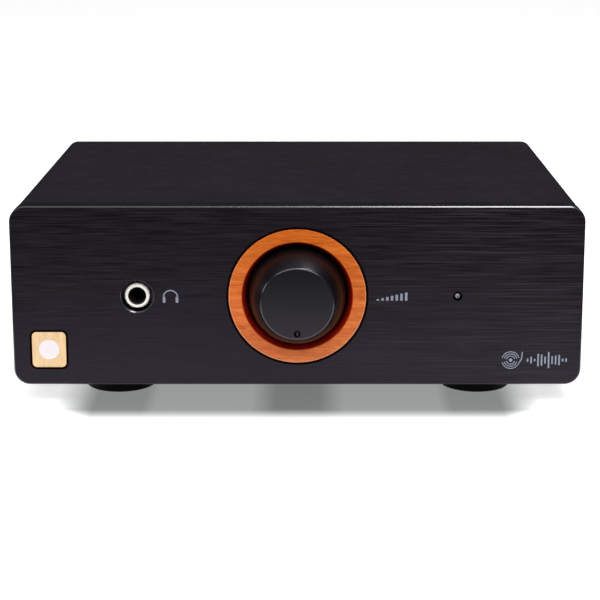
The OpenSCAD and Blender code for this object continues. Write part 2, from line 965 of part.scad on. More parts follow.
// Upright can capacitors with a crimped groove near the foot
module power_capacitors() {
    color("#22304a") in_frame()
        for (i = [0, 1], k = [0, 1])
            translate([board_w / 2 - can_edge - can_pitch * i, main_y + can_from + can_pitch * k, board_top])
                rotate_extrude()
                    polygon([
                        [0, 0],
                        [can_r, 0],
                        [can_r, can_groove_z - can_groove_h],
                        [can_r - can_groove, can_groove_z],
                        [can_r, can_groove_z + can_groove_h],
                        [can_r, can_h - can_groove],
                        [can_r - can_groove, can_h],
                        [0, can_h]
                    ]);
}

// Film capacitors in two rows, one for each channel
module signal_capacitors() {
    color("#a3322a") in_frame()
        for (i = [0:3], x = film_x)
            translate([x, main_y + film_from + film_pitch * i, board_top])
                cube([film_w, film_d, film_h]);
}

// Eight-legged chips, three to a channel
module amplifier_chips() {
    color("#202022") in_frame()
        for (i = [0:2], x = chip_x)
            translate([x, main_y + chip_from + chip_pitch * i, board_top]) {
                translate([-chip_w / 2, -chip_len / 2, chip_low])
                    cube([chip_w, chip_len, chip_h]);
                for (k = [-1.5:1.5], side = [-1, 1])
                    translate([side * (chip_w + leg_w) / 2 - leg_w / 2, pin_pitch * k - leg_t / 2, 0])
                        cube([leg_w, leg_t, leg_h]);
            }
}

// The output relays, side by side in front of the rear board
module relays() {
    color("#e2dfd6") in_frame()
        for (x = relay_x)
            translate([x, socket_y - board_t - relay_gap - relay_d, board_top])
                cube([relay_w, relay_d, relay_h]);
}

// Three regulators, each with its plastic body, tab and legs
module voltage_regulators() {
    color("#2a2a2c") in_frame()
        for (x = regulator_x)
            translate([x, main_y + regulator_from, board_top]) {
                translate([-regulator_w / 2, -regulator_t, regulator_low])
                    cube([regulator_w, regulator_t, regulator_h]);
                translate([-regulator_w / 2, -regulator_tab_t, regulator_low])
                    cube([regulator_w, regulator_tab_t, regulator_tab_h]);
                for (k = [-1:1])
                    translate([pin_pitch * k - leg_w / 2, -2 * regulator_tab_t, 0])
                        cube([leg_w, leg_t, regulator_low + 0.1]);
            }
}

// A finned extrusion behind each regulator
module heat_sinks() {
    color("#30353c") in_frame()
        for (x = regulator_x)
            translate([x, main_y + regulator_from, board_top])
                linear_extrude(heat_sink_h) {
                    translate([-heat_sink_w / 2, 0])
                        square([heat_sink_w, heat_sink_t]);
                    for (i = [0:fin_count - 1])
                        translate([fin_pitch * i - heat_sink_w / 2, heat_sink_t / 2])
                            square([fin_t, heat_sink_t / 2 + fin_len]);
                }
}

// Resistors lying along X, each on its bent leads
module resistors() {
    color("#8fb6c9") in_frame()
        for (row = [0:5], x = resistor_x)
            translate([x, main_y + resistor_from + resistor_pitch * row, board_top]) {
                translate([-resistor_len / 2, 0, resistor_rise])
                    rotate([0, 90, 0])
                        cylinder(r = resistor_r, h = resistor_len);
                for (side = [-1, 1])
                    translate([side * resistor_reach, 0, 0])
                        cylinder(r = lead_r, h = resistor_rise + lead_r);
                translate([-resistor_reach - lead_r, 0, resistor_rise])
                    rotate([0, 90, 0])
                        cylinder(r = lead_r, h = 2 * (resistor_reach + lead_r));
            }
}

// ---- Case ----

// The tray: a floor, a full-height front wall with a lip along its top, low side flanges
// and an upstand at the back
module tray_sheet() {
    half = sheet_w / 2;
    block([-half, panel_t, foot_h], [half, rear_in, deck_z]);
    arched(sheet_w, foot_h, sheet_top, sheet_bend_r, panel_t, wall_y);
    block([lip_d - half, panel_t, sheet_top - tray_t], [half - lip_d, panel_t + lip_d, sheet_top]);
    block([-half, rear_in - tray_t, foot_h], [half, rear_in, foot_h + upstand_h]);
    for (x = [-half, half - tray_t])
        block([x, panel_t, foot_h], [x + tray_t, rear_in, foot_h + flange_h]);
}

module base_tray() {
    color("#2b2a2e") in_frame()
        difference() {
            tray_sheet();
            bar_y(bush_r + screw_play, panel_t - eps, wall_y + eps);
            bar_y(jack_nose_r + screw_play, panel_t - eps, wall_y + eps, -jack_x);
            bar_y(holder_r + screw_play, panel_t - eps, wall_y + eps, led_x);
            for (p = panel_screw_places)
                bar_y(bolt_r + screw_play, panel_t - eps, wall_y + eps, p[0], p[1]);
            for (p = [side_screw_places[0], side_screw_places[1]])
                bar_x(screw_r, -panel_w / 2, panel_w / 2, p[0], p[1]);
            for (x = rear_screw_places)
                bar_y(screw_r, rear_in - tray_t - eps, rear_in + eps, x, rear_screw_z);
            for (p = foot_places)
                bar_z(bolt_r + screw_play, foot_h - eps, deck_z + eps, p[0], p[1]);
            for (p = standoff_places)
                bar_z(collar_r + fit, foot_h - eps, deck_z + eps, p[0], p[1]);
        }
}

// The cover: one sheet folded down both sides, with sunk holes for its screws
module top_cover() {
    color("#29272d") in_frame()
        difference() {
            arched(cover_w, foot_h, cover_top, cover_bend_r, panel_t, cover_end);
            arched(inner_w, foot_h - 1, inner_top, inner_bend_r, panel_t - 1, cover_end + 1);
            for (p = side_screw_places, side = [-1, 1])
                translate([side * (cover_w / 2 + eps), p[0], p[1]])
                    rotate([0, -90 * side, 0]) {
                        cylinder(r = screw_r + screw_play, h = cover_t + 2 * eps);
                        cylinder(r1 = sink_r + screw_play, r2 = screw_r + screw_play, h = sink_t + eps);
                    }
        }
}

// The rear panel, with a tab folded forward at each side for the cover's screws
module rear_panel() {
    half = sheet_w / 2;
    color("#2b2a2e") in_frame()
        difference() {
            union() {
                arched(sheet_w, foot_h, sheet_top, sheet_bend_r, rear_in, rear_y);
                for (x = [-half, half - rear_t])
                    block([x, rear_in - lip_d, tab_z], [x + rear_t, rear_y, tab_top]);
            }
            for (x = concat(white_x, red_x))
                bar_y(rca_collar_r + fit, rear_in - eps, rear_y + eps, x);
            bar_y(post_r + screw_play, rear_in - eps, rear_y + eps, post_x);
            slab(gain_x, axis_z, gain_slot_w, gain_slot_h, rear_in - eps, rear_y + eps);
            slab(
                power_x, axis_z, switch_body_w + 2 * fit, switch_body_h + 2 * fit,
                rear_in - eps, rear_y + eps
            );
            bar_y(inlet_thread_r + screw_play, rear_in - eps, rear_y + eps, inlet_x);
            for (x = rear_screw_places)
                bar_y(screw_r + screw_play, rear_in - eps, rear_y + eps, x, rear_screw_z);
            bar_x(screw_r, -half - eps, half + eps, side_screw_places[2][0], side_screw_places[2][1]);
        }
}

// From inside the case, through the tray's front wall into the front panel
module panel_screws() {
    color("#a9a9ab") in_frame()
        for (p = panel_screw_places)
            screw_y(bolt_r - fit, panel_screw_y + 0.3, wall_y, p[0], p[1]);
}

// Sunk screws through the cover's sides, and round-headed ones along the rear panel
module case_screws() {
    color("#1f1f21") in_frame() {
        for (p = side_screw_places, side = [-1, 1])
            translate([side * cover_w / 2, p[0], p[1]])
                rotate([0, -90 * side, 0])
                    difference() {
                        union() {
                            cylinder(r1 = screw_r * head_ratio, r2 = screw_r - fit, h = sink_t);
                            cylinder(r = screw_r - fit, h = 6);
                        }
                        translate([0, 0, -eps])
                            cylinder(r = screw_r * 0.7, h = 1.2 + eps, $fn = 6);
                    }
        for (x = rear_screw_places)
            screw_y(screw_r - fit, rear_in - tray_t - 2, rear_y, x, rear_screw_z);
    }
}

// ---- Feet ----

// A turned foot, hollow below for its bolt and its rubber pad
module foot(place) {
    color("#151416") in_frame()
        translate([place[0], place[1], 0])
            rotate_extrude()
                polygon([
                    [bolt_r + screw_play, foot_h],
                    [foot_r - foot_bevel, foot_h],
                    [foot_r, foot_h - foot_bevel],
                    [foot_r - foot_taper, pad_proud + foot_bevel],
                    [foot_r - foot_taper - foot_bevel, pad_proud],
                    [pad_r + fit, pad_proud],
                    [pad_r + fit, pad_t],
                    [bolt_r * head_ratio + 0.5, pad_t],
                    [bolt_r * head_ratio + 0.5, foot_h - foot_web],
                    [bolt_r + screw_play, foot_h - foot_web]
                ]);
}

module foot_front_left() {
    foot(foot_places[0]);
}

module foot_front_right() {
    foot(foot_places[1]);
}

module foot_back_left() {
    foot(foot_places[2]);
}

module foot_back_right() {
    foot(foot_places[3]);
}

module foot_pads() {
    color("#2a2a2a") in_frame()
        for (p = foot_places)
            bar_z(pad_r, 0, pad_t, p[0], p[1]);
}

// A bolt up through each foot and the tray, with its nut on the tray's floor
module foot_screws() {
    color("#a9a9ab") in_frame()
        for (p = foot_places) {
            bar_z(bolt_r * head_ratio, foot_h - foot_web - bolt_head_t, foot_h - foot_web, p[0], p[1]);
            bar_z(bolt_r, foot_h - foot_web, deck_z + nut_t + 1, p[0], p[1]);
            difference() {
                translate([p[0], p[1], deck_z])
                    cylinder(r = bolt_r * nut_ratio, h = nut_t, $fn = 6);
                bar_z(bolt_r + fit, deck_z - eps, deck_z + nut_t + eps, p[0], p[1]);
            }
        }
}

// ---- Rear connectors ----

// The metal shell of a signal socket: a thread through the panel, a flange and a plain barrel
module signal_socket(x) {
    color("#cfcfcb") in_frame()
        difference() {
            union() {
                turned(x)
                    polygon([
                        [0, rca_base_y],
                        [rca_thread_r, rca_base_y],
                        [rca_thread_r, rca_seat_y],
                        [rca_r, rca_seat_y],
                        [rca_r, rca_tip - 0.4],
                        [rca_r - 0.4, rca_tip],
                        [0, rca_tip]
                    ]);
                translate([x, rca_seat_y - rca_flange_t, axis_z])
                    rotate([-90, 0, 0])
                        cylinder(r = rca_flange_r, h = rca_flange_t, $fn = 6);
            }
            bar_y(rca_core_r, rca_base_y - eps, rca_tip + eps, x);
        }
}

module input_left_socket() {
    signal_socket(white_x[0]);
}

module input_right_socket() {
    signal_socket(red_x[0]);
}

module output_left_socket() {
    signal_socket(white_x[1]);
}

module output_right_socket() {
    signal_socket(red_x[1]);
}

// A coloured insulating ring outside the panel, with a collar that fills the panel's hole
module socket_ring(x) {
    in_frame()
        turned(x)
            polygon([
                [rca_thread_r + fit, rear_in + 0.2],
                [rca_collar_r, rear_in + 0.2],
                [rca_collar_r, rear_y],
                [rca_ring_r, rear_y],
                [rca_ring_r, rear_y + rca_ring_t],
                [rca_thread_r + fit, rear_y + rca_ring_t]
            ]);
}

module socket_rings_white() {
    color("#e8e6e0")
        for (x = white_x)
            socket_ring(x);
}

module socket_rings_red() {
    color("#b0221c")
        for (x = red_x)
            socket_ring(x);
}

// The insulating core inside each shell
module socket_cores() {
    color("#e9e7df") in_frame()
        for (x = concat(white_x, red_x))
            tube_y(rca_core_r - fit, rca_contact_r + fit, rca_base_y, rca_tip - 0.6, x);
}

// The sprung centre contact, with its tail soldered to the rear board
module socket_contacts() {
    color("#d0a94a") in_frame()
        for (x = concat(white_x, red_x))
            difference() {
                union() {
                    bar_y(rca_contact_r, rca_base_y, rca_tip - 0.9, x);
                    bar_y(tail_r, tail_end, rca_base_y, x);
                }
                bar_y(rca_pin_r, rca_base_y + 2, rca_tip, x);
                slab(x, axis_z, 2 * rca_contact_r + 1, 0.5, rca_base_y + 5, rca_tip);
            }
}

// The nuts behind the rear panel: four on the signal sockets, one each on the earth post
// and the power inlet
module connector_nuts() {
    color("#bdbdbb") in_frame() {
        for (x = concat(white_x, red_x))
            nut_y(rca_thread_r + 2.6, rca_thread_r + fit, rear_in - nut_t, rear_in, x);
        nut_y(post_r * nut_ratio, post_r + fit, rear_in - nut_t, rear_in, post_x);
        nut_y(inlet_nut_r, inlet_thread_r + fit, rear_in - nut_t, rear_in, inlet_x);
    }
}

module earth_post() {
    color("#c9c7bf") in_frame() {
        bar_y(post_r, rear_in - nut_t - 2, post_tip, post_x);
        bar_y(post_collar_r, rear_y, rear_y + post_collar_t, post_x);
    }
}

module earth_washer() {
    color("#c9c7bf") in_frame()
        tube_y(post_collar_r, post_r + fit, washer_y, washer_y + post_washer_t, post_x);
}

// A fluted nut that clamps a wire under the washer
module earth_thumb_nut() {
    color("#cbb26a") in_frame()
        difference() {
            turned(post_x)
                polygon([
                    [post_r + fit, thumb_y],
                    [thumb_r - 1, thumb_y],
                    [thumb_r - 1, thumb_y + 1],
                    [thumb_r, thumb_y + 1.4],
                    [thumb_r, thumb_y + thumb_len - 0.4],
                    [thumb_r - 0.4, thumb_y + thumb_len],
                    [post_r + fit, thumb_y + thumb_len]
                ]);
            for (i = [1:flute_count])
                bar_y(
                    0.45, thumb_y + 0.9, thumb_y + thumb_len + eps,
                    post_x + (thumb_r + 0.15) * cos(i * 360 / flute_count),
                    axis_z + (thumb_r + 0.15) * sin(i * 360 / flute_count)
                );
        }
}

// The slide switch's case stands between the rear panel and the rear board
module cartridge_switch_body() {
    color("#8f9194") in_frame()
        difference() {
            slab(gain_x, axis_z, gain_body_w, gain_body_h, socket_y, rear_in);
            slab(gain_x, axis_z, gain_room_w, gain_room_h, gain_room_y, rear_in - gain_face_t);
            slab(gain_x, axis_z, gain_slot_w, gain_slot_h, gain_room_y, rear_in + eps);
        }
}

// Drawn at one end of its travel
module cartridge_switch_slider() {
    x = gain_x - gain_travel / 2;
    low = gain_room_y + gain_play;
    color("#1b1b1d") in_frame() {
        slab(x, axis_z, gain_stem_w, gain_stem_h, low, rear_y + gain_stem_out);
        slab(x, axis_z, gain_base_w, gain_base_h, low, rear_in - gain_face_t - gain_play);
    }
}

module power_switch_body() {
    color("#171719") in_frame()
        difference() {
            union() {
                slab(power_x, axis_z, switch_body_w, switch_body_h, socket_y, rear_y);
                slab(
                    power_x, axis_z, switch_body_w + 2 * bezel_lip, switch_body_h + 2 * bezel_lip,
                    rear_y, rear_y + bezel_t
                );
            }
            slab(
                power_x, axis_z, rocker_room_w, rocker_room_h,
                pivot_y - rocker_room_d, rear_y + bezel_t + eps
            );
            bar_x(
                rocker_pin_r + rocker_pin_play,
                power_x - rocker_room_w / 2 - rocker_pin_len, power_x + rocker_room_w / 2 + rocker_pin_len,
                pivot_y, axis_z
            );
        }
}

// Half of the rocker: its face slopes outward from the middle
module rocker_half(side) {
    rotate([side * rocker_angle, 0, 0])
        translate([-rocker_w / 2, -rocker_back, side > 0 ? -1 : -2 * rocker_r])
            cube([rocker_w, rocker_back + rocker_face, 2 * rocker_r + 1]);
}

// Drawn leaning to its off side
module power_switch_rocker() {
    color("#232325") in_frame()
        translate([power_x, pivot_y, axis_z])
            rotate([-rocker_angle, 0, 0]) {
                intersection() {
                    rotate([0, 90, 0])
                        cylinder(r = rocker_r, h = rocker_w, center = true);
                    union() {
                        intersection() {
                            rocker_half(1);
                            translate([-rocker_w, -rocker_r * 2, 0])
                                cube([rocker_w * 2, rocker_r * 4, rocker_r * 2]);
                        }
                        intersection() {
                            rocker_half(-1);
                            translate([-rocker_w, -rocker_r * 2, -rocker_r * 2])
                                cube([rocker_w * 2, rocker_r * 4, rocker_r * 2]);
                        }
                    }
                }
                rotate([0, 90, 0])
                    cylinder(
                        r = rocker_pin_r, center = true,
                        h = rocker_room_w + 2 * rocker_pin_len - 2 * rocker_play
                    );
            }
}

// A threaded socket for a low-voltage plug
module power_inlet_shell() {
    color("#a8a8a6") in_frame()
        turned(inlet_x)
            polygon([
                [inlet_pin_r + fit, inlet_floor_y - inlet_floor_t],
                [inlet_thread_r, inlet_floor_y - inlet_floor_t],
                [inlet_thread_r, rear_y],
                [inlet_flange_r, rear_y],
                [inlet_flange_r, inlet_mouth_y - 0.4],
                [inlet_flange_r - 0.4, inlet_mouth_y],
                [inlet_bore_r, inlet_mouth_y],
                [inlet_bore_r, inlet_floor_y],
                [inlet_pin_r + fit, inlet_floor_y]
            ]);
}

module power_inlet_pin() {
    color("#c9c9c6") in_frame()
        bar_y(inlet_pin_r, tail_end + 1.5, inlet_mouth_y - 1, inlet_x);
}

front_panel();
wooden_ring();
badge_plate();
badge_inlay();
volume_knob();
knob_grub_screw();
pot_shaft();
pot_rotor();
pot_bush();
pot_nut();
pot_housing();
headphone_socket_nose();
headphone_socket_body();
headphone_socket_nut();
headphone_contacts();
power_light();
power_light_holder();
control_board();
board_headers();
base_tray();
top_cover();
rear_panel();
panel_screws();
case_screws();
foot_front_left();
foot_front_right();
foot_back_left();
foot_back_right();
foot_pads();
foot_screws();
main_board();
board_standoffs();
board_screws();
rear_board();
power_capacitors();
signal_capacitors();
amplifier_chips();
relays();
voltage_regulators();
heat_sinks();
resistors();
input_left_socket();
input_right_socket();
output_left_socket();
output_right_socket();
socket_rings_white();
socket_rings_red();
socket_cores();
socket_contacts();
connector_nuts();
earth_post();
earth_washer();
earth_thumb_nut();
cartridge_switch_body();
cartridge_switch_slider();
power_switch_body();
power_switch_rocker();
power_inlet_shell();
power_inlet_pin();
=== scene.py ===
# A desktop phono preamplifier: its finishes, its printed marks and its fine metalwork,
# on a pale floor in soft studio light.
import json
import math

import bmesh
import bpy
from mathutils import Euler, Matrix, Vector


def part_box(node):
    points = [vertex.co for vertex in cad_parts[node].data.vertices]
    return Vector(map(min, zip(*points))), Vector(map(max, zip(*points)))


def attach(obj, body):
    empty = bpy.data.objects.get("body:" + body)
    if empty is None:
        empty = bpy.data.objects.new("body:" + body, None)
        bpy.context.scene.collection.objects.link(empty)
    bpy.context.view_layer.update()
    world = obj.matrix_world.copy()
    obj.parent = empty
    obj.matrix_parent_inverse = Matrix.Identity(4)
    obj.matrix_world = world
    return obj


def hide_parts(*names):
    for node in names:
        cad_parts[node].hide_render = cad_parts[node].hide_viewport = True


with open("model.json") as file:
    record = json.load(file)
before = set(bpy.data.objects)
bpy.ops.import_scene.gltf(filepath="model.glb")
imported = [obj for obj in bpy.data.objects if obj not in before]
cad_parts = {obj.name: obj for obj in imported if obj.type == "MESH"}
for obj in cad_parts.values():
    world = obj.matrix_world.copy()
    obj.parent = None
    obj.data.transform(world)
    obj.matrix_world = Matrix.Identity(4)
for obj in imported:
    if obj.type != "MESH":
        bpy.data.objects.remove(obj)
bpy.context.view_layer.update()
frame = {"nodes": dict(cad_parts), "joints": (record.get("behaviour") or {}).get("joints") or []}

MM = 0.001

# ---- Places and sizes that the rest is worked out from ----

def middle(*nodes):
    """The middle of a node's box, or of the box round several nodes."""
    corners = [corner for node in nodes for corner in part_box(node)]
    return Vector([(min(along) + max(along)) / 2 for along in zip(*corners)])


PANEL_LOW, PANEL_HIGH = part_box("front_panel")
RING_LOW, RING_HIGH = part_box("wooden_ring")
POST_LOW, POST_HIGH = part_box("earth_post")
FACE_Y = PANEL_LOW.y
BACK_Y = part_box("rear_panel")[1].y
KNOB_FACE_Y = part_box("volume_knob")[0].y
AXIS_Z = middle("volume_knob").z       # the knob's, and the headphone socket's too
PANEL_Z = middle("front_panel").z
PANEL_H = PANEL_HIGH.z - PANEL_LOW.z
PANEL_RIM = 3 * MM                     # the border that holds the panel's cut edge
RING_R = (RING_HIGH.x - RING_LOW.x) / 2
RING_FACE_W = 5.5 * MM                 # the flat rim outside the bowl
KNOB_FACE_R = 14.6 * MM
DIMPLE_R = 1.4 * MM
DIMPLE_DROP = 12.2 * MM                # from the knob's axis down to its pointer dimple
JACK_X = middle("headphone_socket_nose").x
JACK_HOLE_R = 6.4 * MM
JACK_BORE_R = 3.25 * MM
BADGE_CORNER_R = 1.85 * MM
FOOT_X = middle("foot_front_right").x


# ---- Shader maths ----

class Wire:
    """A number, colour or vector in a node tree; a sum on it adds the Math nodes."""

    def __init__(self, nodes, socket):
        self.nodes = nodes
        self.socket = socket

    def maths(self, operation, *values):
        return self.nodes.add("ShaderNodeMath", {"operation": operation}, *values)

    def __add__(self, other):
        return self.maths("ADD", self, other)

    def __sub__(self, other):
        return self.maths("SUBTRACT", self, other)

    def __rsub__(self, other):
        return self.maths("SUBTRACT", other, self)

    def __mul__(self, other):
        return self.maths("MULTIPLY", self, other)

    def __pow__(self, other):
        return self.maths("POWER", self, other)

    def __abs__(self):
        return self.maths("ABSOLUTE", self)

    def at_least(self, other):
        return self.maths("MAXIMUM", self, other)

    def past(self, edge):
        """How far the value lies past an edge, and 0 before it."""
        return (self - edge).at_least(0.0)

    def fraction(self):
        return self.maths("FRACT", self)

    __radd__ = __add__
    __rmul__ = __mul__


def distance(across, up):
    """How far a place lies from where both values are 0."""
    return (across * across + up * up) ** 0.5


class Nodes:
    """The node tree of a finish or of the room, and the one way to add a node to it."""

    def __init__(self, tree):
        self.tree = tree

    def link(self, socket, value):
        if isinstance(value, Wire):
            self.tree.links.new(value.socket, socket)
        else:
            socket.default_value = value

    def add(self, kind, settings, *values, out=None, **named):
        """A node of any kind: its settings first, then what goes into its open sockets in
        turn, and into the named ones. The result is an output by name, or the first open one."""
        node = self.tree.nodes.new(kind)
        for key, value in settings.items():
            if key == "stops":
                self.fill_ramp(node.color_ramp, value)
            else:
                setattr(node, key, value)
        ways_in = [socket for socket in node.inputs if socket.enabled]
        for socket, value in zip(ways_in, values):
            self.link(socket, value)
        for name, value in named.items():
            self.link(node.inputs[name.replace("_", " ")], value)
        ways_out = [socket for socket in node.outputs if socket.enabled]
        return Wire(self, node.outputs[out] if out else ways_out[0])

    def fill_ramp(self, ramp, stops):
        while len(ramp.elements) < len(stops):
            ramp.elements.new(0.5)
        for element, (place, colour) in zip(ramp.elements, stops):
            element.position = place
            element.color = (*colour, 1)

    def parts(self, vector):
        """The x, y and z of a vector."""
        split = self.add("ShaderNodeSeparateXYZ", {}, vector)
        return [Wire(self, socket) for socket in split.socket.node.outputs]


class Finish(Nodes):
    """One material. Numbers that are the same all over go straight onto its shader."""

    def __init__(self, name, colour, rough=0.5, metal=0.0, **constants):
        self.material = bpy.data.materials.new(name)
        self.material.use_nodes = True
        super().__init__(self.material.node_tree)
        self.shader = self.tree.nodes["Principled BSDF"]
        self.set("Base Color", (*colour, 1))
        self.set("Roughness", rough)
        self.set("Metallic", metal)
        for socket, value in constants.items():
            self.set(socket.replace("_", " "), value)

    def set(self, socket, value):
        self.link(self.shader.inputs[socket], value)

    def place(self, stretch=(1, 1, 1), shift=(0, 0, 0)):
        """Places on the piece, in metres, shifted and then stretched along each axis."""
        here = self.add("ShaderNodeTexCoord", {}, out="Object")
        moved = self.add("ShaderNodeVectorMath", {"operation": "ADD"}, here, shift)
        return self.add("ShaderNodeVectorMath", {"operation": "MULTIPLY"}, moved, stretch)

    def noise(self, vector, detail):
        return self.add(
            "ShaderNodeTexNoise", {"noise_dimensions": "3D"},
            Vector=vector, Scale=1.0, Detail=detail, Roughness=0.55,
        )

    def ramp(self, value, *stops):
        return self.add("ShaderNodeValToRGB", {"stops": stops}, value)

    def blend(self, share, first, second):
        """A colour between two others."""
        ends = [colour if isinstance(colour, Wire) else (*colour, 1) for colour in (first, second)]
        return self.add("ShaderNodeMix", {"data_type": "RGBA"}, share, *ends)

    def within(self, value, low, high):
        """The value's share of the way from low to high, kept between 0 and 1."""
        return self.add("ShaderNodeMapRange", {"clamp": True}, value, low, high)

    def bump(self, height, depth, strength):
        self.set("Normal", self.add("ShaderNodeBump", {}, Height=height, Distance=depth, Strength=strength))


# ---- Finishes ----

def brushed_black():
    """Black anodised aluminium, brushed along its length in fine broken lines, with some
    long bright ones among them. Towards the right and the top the lines are painted brighter, as painted
    sheen where the light falls.

    The edges round its outline are cut after the dye, so their metal shows. Below the
    headphone socket's hole the same bare metal is a painted highlight, kept to the lower half of its edge
    where the light catches it."""
    f = Finish(
        "brushed_black", (0.014, 0.013, 0.016),
        Specular_IOR_Level=0.24, Specular_Tint=(1.0, 0.84, 1.12, 1),
    )
    hairs = f.noise(f.place((110, 400, 5200), (0.31, 0, 0.17)), 1.0)
    fine = f.noise(f.place((56, 400, 3000), (0.05, 0, 0.11)), 0.0)
    coarse = f.noise(f.place((30, 200, 1500)), 0.0)
    long_lines = f.within(f.noise(f.place((26, 90, 2700), (0.13, 0, 0.4)), 0.0), 0.65, 0.72)
    patches = f.noise(f.place((11, 20, 24), (0.7, 0, 0)), 1.0)
    lines = f.within(hairs * 0.35 + fine * 0.55 + coarse * 0.1, 0.36, 0.64)
    x, y, z = f.parts(f.place())
    # Painted sheen: the brush lines grow brighter and stronger towards the right and the top.
    painted_sheen_to_right = f.within(x, -20 * MM, 90 * MM)
    painted_sheen_to_top = f.within(z, AXIS_Z - 10 * MM, AXIS_Z + 25 * MM)
    share = lines * (patches * 0.4 + painted_sheen_to_right * 0.25 + 0.22)
    black = f.blend(share, (0.0012, 0.0011, 0.0017), (0.0155, 0.0140, 0.0182))
    black = f.blend(long_lines * painted_sheen_to_right * (painted_sheen_to_top * 0.4 + 0.5), black, (0.029, 0.027, 0.031))
    depth, soft = y - FACE_Y, 0.08 * MM
    cut_from, cut_to = 0.1 * MM, 0.6 * MM
    cut = f.within(depth, cut_from, cut_from + soft) * f.within(depth, cut_to, cut_to - soft)
    past_rim = abs(x).past(PANEL_HIGH.x - PANEL_RIM) + abs(z - PANEL_Z).past(PANEL_H / 2 - PANEL_RIM)
    up = z - AXIS_Z
    by_jack = f.within(distance(x - JACK_X, up), JACK_HOLE_R + 1.0 * MM, JACK_HOLE_R + 0.9 * MM)
    # Painted highlight: bare metal on the lower half of the hole's bevel only, where the light catches it.
    painted_jack_highlight = by_jack * f.within(up, 3 * MM, -3 * MM)
    cut = cut * f.within(f.within(past_rim, 0.0, 0.1 * MM) + painted_jack_highlight, 0.0, 1.0)
    f.set("Base Color", f.blend(cut, black, (0.16, 0.156, 0.165)))
    f.set("Metallic", cut * 0.95)
    dyed = 1.0 - cut
    f.set("Roughness", 0.2 + (lines * 0.2 + 0.08) * dyed)
    f.bump((hairs * 0.5 + fine * 0.5) * dyed, 0.02 * MM, 0.35)
    return f


def satin_coat(name, colour, rough):
    """A fine black coat with a faint orange-peel texture and a few pale specks."""
    f = Finish(name, colour, rough, Specular_IOR_Level=0.12)
    grain = f.noise(f.place((2600, 2600, 2600)), 2.0)
    cloud = f.noise(f.place((22, 30, 22)), 3.0)
    speck = f.within(f.noise(f.place((700, 700, 700), (0.2, 0.4, 0)), 1.0), 0.67, 0.77)
    smudge = f.noise(f.place((130, 190, 190), (0, 0.3, 0)), 3.0)
    dark = [c * 0.7 for c in colour]
    light = [c * 1.35 for c in colour]
    tint = f.blend(f.within(cloud * 0.4 + smudge * 0.6, 0.3, 0.7), dark, light)
    f.set("Base Color", f.blend(speck * 0.3, tint, (0.085, 0.075, 0.085)))
    f.set("Roughness", rough - 0.06 + cloud * 0.14)
    f.bump(grain, 0.03 * MM, 0.5)
    return f


def lacquered_wood():
    """Cherry under clear lacquer: the grain runs across. Its side and its bowl are stained dark red,
    and painted shade darkens the bowl from its lip to black at its floor."""
    f = Finish(
        "lacquered_wood", (0.6, 0.17, 0.03), 0.42,
        Specular_IOR_Level=0.1, Coat_Roughness=0.25, Coat_IOR=1.4,
    )
    x, y, z = f.parts(f.place(shift=(0, 0, -AXIS_Z)))
    wander = f.noise(f.place((30, 30, 90)), 2.0)
    bands = f.noise(f.place((14, 120, 330), (0.04, 0, 0)), 2.0)
    fibres = f.noise(f.place((190, 900, 1500), (0.5, 0, 0)), 3.0)
    pores = f.within(f.noise(f.place((330, 2400, 2100), (0.1, 0, 0)), 1.0), 0.60, 0.74)
    share = f.within(bands * 0.45 + fibres * 0.4 + wander * 0.15, 0.34, 0.66)
    rings = f.noise(f.place((8, 60, 75), (0.04, 0, 0.02)), 1.0) * 14
    late_wood = rings.fraction() ** 8
    # Painted shading: deeper, redder tones for the top of the ring (high) and paler ones for its bottom
    # (low).
    high = f.ramp(
        share,
        (0.0, (0.47, 0.074, 0.004)),
        (0.5, (0.65, 0.134, 0.010)),
        (1.0, (0.79, 0.215, 0.022)),
    )
    low = f.ramp(
        share,
        (0.0, (0.44, 0.088, 0.022)),
        (0.5, (0.60, 0.152, 0.042)),
        (1.0, (0.76, 0.25, 0.078)),
    )
    # Painted shading: the ring goes from the top tones to the paler bottom ones by height.
    wood = f.blend(f.within(z, RING_R, -RING_R), high, low)
    wood = f.blend(pores * 0.35 + late_wood * 0.4, wood, (0.33, 0.055, 0.008))
    reach = distance(x, z)
    # Painted highlight: the lower part of the outer rim is painted pale where its round edge catches the
    # light.
    worn = f.within(reach, RING_R - 0.5 * MM, RING_R - 0.3 * MM) * f.within(z, RING_R, -0.4 * RING_R)
    wood = f.blend(worn * 0.65, wood, (0.84, 0.45, 0.26))
    lip_r = RING_R - RING_FACE_W
    bowl = f.within(reach, lip_r + 0.4 * MM, lip_r + 0.2 * MM)
    side = f.within(y, RING_LOW.y + 0.22 * MM, RING_LOW.y + 0.32 * MM)
    stain_and_painted_shade = f.within(bowl + side, 0.0, 1.0)
    # Stain and painted shade: dark red at the front, painted down to black deeper in, where shade falls in
    # the bowl.
    red = f.ramp(
        f.within(y, FACE_Y, FACE_Y + 4 * MM),
        (0.0, (0.46, 0.045, 0.005)),
        (0.52, (0.38, 0.008, 0.003)),
        (0.95, (0.006, 0.001, 0.001)),
    )
    f.set("Base Color", f.blend(stain_and_painted_shade, wood, red))
    f.set("Roughness", 0.36 + fibres * 0.14)
    f.set("Coat Weight", (1.0 - stain_and_painted_shade) * 0.12)
    f.bump(fibres * 0.6 - pores * 0.5, 0.04 * MM, 0.35)
    return f


def pale_wood():
    """Maple with short upright fibres."""
    f = Finish("pale_wood", (0.85, 0.6, 0.33), 0.42, Coat_Weight=0.2, Coat_Roughness=0.3)
    fibres = f.noise(f.place((1500, 600, 260)), 3.0)
    cloud = f.noise(f.place((260, 120, 140), (0.3, 0, 0)), 2.0)
    share = f.within(fibres * 0.5 + cloud * 0.5, 0.32, 0.68)
    f.set("Base Color", f.blend(share, (0.66, 0.43, 0.215), (0.80, 0.57, 0.32)))
    f.bump(fibres, 0.03 * MM, 0.4)
    return f


